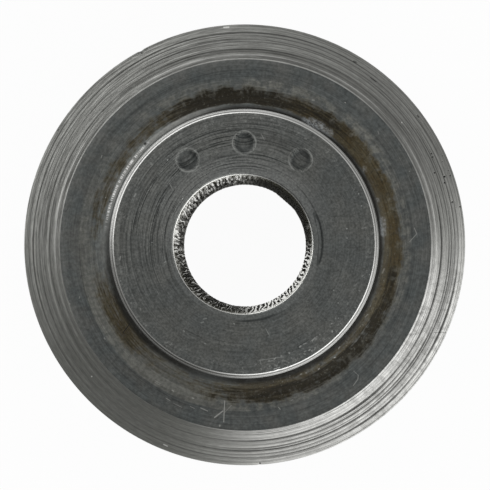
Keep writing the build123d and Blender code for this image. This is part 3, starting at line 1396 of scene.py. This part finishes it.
# painted highlight: brighter on the side that faces the light, most of all near the rim there
colour = blend(bevel_lit_side, (0.25, 0.252, 0.238), (0.42, 0.42, 0.405))
colour = laid_over(colour, (0.64, 0.64, 0.62), in_band(spot, 13.8, 14.3, 0.5), bevel_lit_side, 0.54)
colour = vector_calc("SCALE", colour, scale=fade(spot["Radius"], 14, 16.3, 0.96, 1.14))
colour = toned(colour, lines, times(rough_cut, 0.17))
colour = layered(
    toned(colour, short, times(rough_cut, graded(streaky, 0.08, 0.2))),
    ((0.09, 0.09, 0.083), fade(short, 0.3, 0.1), streaky, rough_cut, 0.45),
    ((0.46, 0.465, 0.445), fade(short, 0.72, 0.92), streaky, rough_cut, 0.3),
    ((0.1, 0.1, 0.092), arc(spot, 75, 62, 14.3, 14.5, 0.22), 0.35),
)

# %% [markdown]
# On the smoother side the cuts show only as bands, each a little brighter or darker than the next.

# %% Ground bevel: bands, grooves and crests
# radius and softness in millimetres, and how bright each band is
BANDS = (
    (13.77, 0.06, 0.4),
    (13.96, 0.05, -0.4),
    (14.11, 0.06, 0.5),
    (14.45, 0.10, -0.6),
    (14.69, 0.08, 0.5),
    (14.94, 0.08, -0.5),
    (15.33, 0.08, -0.4),
    (15.60, 0.05, 0.5),
    (15.76, 0.04, -0.6),
    (15.89, 0.05, 0.5),
)
BAND_HALF_WIDTH = 0.02
level = 0.5
for place, soft, share in BANDS:
    band = in_band(spot, place - BAND_HALF_WIDTH, place + BAND_HALF_WIDTH, soft)
    level = calc("MULTIPLY_ADD", band, share, level)
banded = times(on_side(spot, 190, 50), fade(patches, 0.3, 0.6, 0.18, 0.34))
colour = layered(
    toned(colour, level, banded),
    ((0.05, 0.05, 0.046), fade(hair, 0.24, 0.08), rough_cut, 0.6),
    ((0.6, 0.6, 0.58), fade(painted_on(spot, "raised"), 0.35, 0.9), 0.5),
    # painted highlight near the edge on the side that faces the light
    ((0.68, 0.68, 0.66), arc(spot, 332, 48, 15.8, 16.5, 0.4), 0.22),
)

# %% [markdown]
# Near the rim it is burnished in short strokes across the lines. The dull sides are laid over that,
# and the darker grooves come last.

# %% Ground bevel: strokes, dull sides and darker grooves
across = stack(0, 0, times(spot["Across"], 1.1))
strokes = vector_calc("ADD", vector_calc("SCALE", spot["Heading"], scale=42), across)
strokes = fade(speckle(strokes, 1, 2, 0.5), 0.45, 0.65)
stroked = plus(times(on_side(spot, 328, 34), 0.3), times(bevel_lit_side, 0.1))
colour = layered(
    colour,
    ((0.16, 0.16, 0.152), stroked, strokes),
    ((0.19, 0.194, 0.172), smooth_side, 0.22),
    # painted shade: darkest on the side away from the light
    ((0.13, 0.134, 0.12), on_side(spot, 231, 34), 0.36),
    ((0.16, 0.16, 0.152), fade(patches, 0.35, 0.65), bevel_lit_side, 0.25),
    ((0.2, 0.2, 0.19), on_side(spot, 278, 24), 0.22),
    ((0.14, 0.14, 0.13), on_side(spot, 25, 45), 0.2),
)
grain = lathe_lines(spot, 0.09, 30, 2)
colour = toned(colour, grain, calc("SUBTRACT", 0.14, times(bevel_lit_side, 0.08)))
colour = laid_over(colour, (0.03, 0.03, 0.028), painted_on(spot, "pressed"), 0.82)

# %% [markdown]
# A few round pits have been eaten into the bevel on one side, and the nicks in the edge are dark.

# %% Ground bevel: pits and nicks
# heading and radius of both ends, or of a dot, and then the width and the strength
PITS = (
    (26, 15.48, 0.09, 1),
    (25, 15.45, 0.10, 1),
    (20.7, 15.1, 0.10, 1),
    (18.8, 15.74, 0.12, 1),
    (18.6, 16.2, 0.09, 0.9),
    (17.2, 15.6, 0.10, 1),
    (22.8, 16, 0.07, 0.7),
    (24.2, 16.2, 0.07, 0.6),
    (20, 16.2, 0.07, 0.6),
    (118.2, 16.24, 118.2, 16.42, 0.11, 0.6),
    (118.9, 16.36, 118.9, 16.4, 0.09, 0.5),
    (117.2, 16.32, 116.4, 16.36, 0.06, 0.4),
    (148.3, 16.38, 148.6, 16.38, 0.07, 0.6),
    (274, 16.38, 0.1, 0.8),
    (11.6, 15.8, 0.11, 0.9),
    (10, 16.35, 0.09, 0.9),
    (58.6, 15.95, 59.2, 15.92, 0.11, 0.6),
    (53, 15.6, 51, 15.62, 0.05, 0.7),
    (36.8, 16.1, 36.2, 16.12, 0.07, 0.7),
    (31, 15.2, 0.06, 0.5),
    (335.1, 15.55, 336.4, 16.42, 0.05, 0.4),
    (331.5, 13.95, 332.4, 14.3, 0.13, 0.3),
    (338.6, 13.9, 338.9, 14.1, 0.15, 0.28),
    (125.5, 14.36, 130, 14.38, 0.07, 0.35),
    (133, 14.42, 137, 14.46, 0.08, 0.4),
)
BRIGHT_NICKS = (
    (94.2, 16.32, 95.4, 16.33, 0.09, 0.9),
    (37.8, 14.79, 0.08, 0.6),
    (220.8, 15.02, 0.08, 0.8),
    (119.8, 16.2, 121, 16.3, 0.05, 0.35),
    (248, 16.1, 249, 16.12, 0.07, 0.6),
)
pits = drawn_marks(spot, PITS)
colour = laid_over(colour, (0.75, 0.75, 0.72), drawn_marks(spot, BRIGHT_NICKS))
colour = laid_over(colour, (0.012, 0.012, 0.012), pits)
roughness = plus(graded(lines, 0.42, 0.32), times(smooth_side, 0.06))
height = plus(lines, times(hair, 0.4), times(pits, -6))
finish_with(steel, colour, roughness, height, 0.004)

# %% [markdown]
# ### Wall of the bore
#
# The bore was left as the drill and its chatter made it, and its wall is dark. The crests of the
# facets are rubbed bright by the pin, and on the two sides that face the light they are painted
# brighter, most towards the upper mouth: painted reflections of the light.

# %% Chattered bore: facets
steel, spot = start_finish("chattered_bore", 0)
feed(steel.inputs["Specular IOR Level"], 0.1)
up = part(spot["Place"], 2)
turning = calc("ARCTAN2", part(spot["Heading"], 1), part(spot["Heading"], 0))


def broken_facets(round_the_wall, along_the_wall):
    """Cloudy values stretched along the wall, so many for each unit round it and along it."""
    around = vector_calc("SCALE", spot["Heading"], scale=round_the_wall)
    rising = stack(0, 0, calc("MULTIPLY", up, along_the_wall))
    return speckle(vector_calc("ADD", around, rising), 1, 1, 0.5)


def beats(facets_round, unrest):
    """Leaning waves round the wall, from -1 to 1, that many of them, made uneven."""
    wave = calc("MULTIPLY_ADD", turning, facets_round, times(up, 0.25))
    uneven = broken_facets(facets_round / 7, 0.14)
    return calc("SINE", plus(wave, times(uneven, unrest)))


long_facets = fade(beats(92, 15), -0.7, 0.7)
thin_facets = fade(beats(104, 17), -0.1, 1)
teeth = fade(beats(94, 13), -0.15, 0.45)
short_facets = fade(broken_facets(22, 0.16), 0.42, 0.56)

# %% [markdown]
# Each side of the wall has its own kind of facets, because the drill leaned. The mask of what is
# rubbed also tells the bright metal from the dark wall, and on the two sides that face the light it
# holds painted reflections as well.

# %% Chattered bore: what is rubbed bright, and painted reflections
SCUFFS = (
    (14.6, 4.82, 15.6, 4.82, 0.16, 0.3),
    (53, 4.86, 53.4, 4.86, 0.1, 0.3),
)
lit_right_side = on_side(spot, 314, 60)
mottled = plus(times(short_facets, 0.56), times(long_facets, 0.5))
patchy = graded(short_facets, 0.5, 1)
rubbed = highest(
    # painted reflection: bright facets on a side that faces the light, more towards the upper mouth
    times(on_side(spot, 138, 75), fade(up, -9, 7, 0.35, 1.02), mottled),
    times(on_side(spot, 224, 80), thin_facets, patchy, 0.64),
    # painted reflection: the other side that faces the light, brightest near the upper mouth
    times(lit_right_side, teeth),
    times(lit_right_side, fade(up, 5.5, 7.5), 0.85),
    drawn_marks(spot, SCUFFS),
)
rubbed = calc("MINIMUM", rubbed, 1)
grit = cloudy(spot, 3, 3)
colour = blend(fade(grit, 0.35, 0.65), (0.03, 0.029, 0.021), (0.1, 0.097, 0.072))
# rubbed crests, and painted reflections on the sides that face the light
colour = laid_over(colour, (0.9, 0.9, 0.83), rubbed)
feed(steel.inputs["Metallic"], rubbed)
height = plus(long_facets, times(grit, 0.6))
finish_with(steel, colour, graded(rubbed, 0.9, 0.28), height, 0.04)

for zone in ZONES:
    wheel_data.materials.append(bpy.data.materials[zone])
print("finishes:", ZONES)

# %% [markdown]
# ## Floor
#
# A small steel part is best judged on a plain white ground. The floor's paper is matt and pale, so
# it keeps a soft shadow under the blade, and where the camera or the metal looks at it, it mostly
# shows its own white.

# %% Floor
FLOOR_SIZE = 4
floor_mesh = bmesh.new()
bmesh.ops.create_grid(floor_mesh, x_segments=1, y_segments=1, size=FLOOR_SIZE / 2)
bmesh.ops.translate(floor_mesh, verts=floor_mesh.verts, vec=(0, 0, low_corner.z))
floor_data = bpy.data.meshes.new("floor")
floor_mesh.to_mesh(floor_data)
floor_mesh.free()
floor = bpy.data.objects.new("floor", floor_data)
bpy.context.scene.collection.objects.link(floor)
print("floor at", round(low_corner.z / MM, 2), "mm")

# %% [markdown]
# The paper is a mix of two shaders. Rays that come from the camera or from the metal mostly see a
# glow of plain white, and all other rays see matt paper, which takes the shadow.

# %% Paper of the floor
SEEN_WHITE = 0.96
paper = bpy.data.materials.new("paper_floor")
paper.use_nodes = True
tree = paper.node_tree
tree.nodes.clear()
path = put(tree, "LightPath").outputs
seen = highest(path["Is Camera Ray"], path["Is Glossy Ray"], path["Is Transmission Ray"])
lit = put(tree, "BsdfDiffuse", (0.85, 0.85, 0.85, 1)).outputs[0]
glow = put(tree, "Emission", (1, 1, 1, 1), 1).outputs[0]
mixed = put(tree, "MixShader", times(seen, SEEN_WHITE), lit, glow).outputs[0]
feed(put(tree, "OutputMaterial").inputs["Surface"], mixed)
floor_data.materials.append(paper)
print("paper shows", SEEN_WHITE, "of its own white")

# %% [markdown]
# ## Light
#
# Bare metal shows little but what stands round it. So the studio is drawn as a surround, with the
# brightness written by direction: even walls, a broad bright window low on one side, a dimmer one
# across from it, and a dark corner between them. The faces of the hub and the flank look up at the
# dim ceiling and stay dark, and the bevel looks out at the walls and shows every one of them.

# %% Studio round the wheel
CEILING = 0.62
WALLS = 0.72
# heading and half width in degrees, lower and upper edge, softness, and strength
WINDOWS = (
    (314, 72, 0.05, 0.40, 0.22, 1.6),
    (142, 74, -0.06, 0.08, 0.12, 1.9),
    (146, 62, 0.1, 0.5, 0.25, 0.22),
    (228, 64, -0.1, 0.5, 0.26, -0.42),
)
world = bpy.data.worlds.new("studio")
bpy.context.scene.world = world
world.use_nodes = True
tree = world.node_tree
tree.nodes.clear()
direction = put(tree, "TexCoord").outputs["Generated"]
up = part(direction, 2)
around = vector_calc("NORMALIZE", vector_calc("MULTIPLY", direction, (1, 1, 0)))
sky = {"Heading": around, "Radius": up}
shade = fade(up, 0.2, 0.8, WALLS, CEILING)
for *place, strength in WINDOWS:
    shade = plus(shade, times(arc(sky, *place), strength))
is_seen = put(tree, "LightPath").outputs["Is Camera Ray"]
shade = put(tree, "Mix", is_seen, None, shade, 1).outputs[0]
back = put(tree, "Background", (1, 1, 1, 1), shade).outputs[0]
feed(put(tree, "OutputWorld").inputs["Surface"], back)
print("walls", WALLS, "and ceiling", CEILING, "with", len(WINDOWS), "windows and dark corners")

# %% [markdown]
# ## Camera
#
# The camera looks straight down along the bore from about seven hub widths above, and leans by
# half a degree, so that the wall of the bore shows a little more on one side. The wheel stands a
# hair off the middle of the picture, which the lens shift gives.

# %% Camera
CAMERA_HEIGHT = 143.3
CAMERA_ASIDE = (0.48, -1.13)
SENSOR = 36
LENS = 140.65
camera = bpy.data.cameras.new("camera")
camera.lens = LENS
camera.shift_x = 0.0008
camera.shift_y = -0.0008
camera.sensor_width = SENSOR
camera.clip_start = 0.005
holder = bpy.data.objects.new("camera", camera)
holder.location = (CAMERA_ASIDE[0] * MM, CAMERA_ASIDE[1] * MM, CAMERA_HEIGHT * MM)
back_from_wheel = holder.location.normalized()
to_the_right = Vector((0, 1, 0)).cross(back_from_wheel).normalized()
upright = back_from_wheel.cross(to_the_right)
holder.rotation_euler = Matrix((to_the_right, upright, back_from_wheel)).transposed().to_euler()
bpy.context.scene.collection.objects.link(holder)
bpy.context.scene.camera = holder
bpy.context.scene.view_settings.view_transform = "Standard"
print(f"camera {CAMERA_HEIGHT} mm above the plane of the edge, lens {LENS} mm")
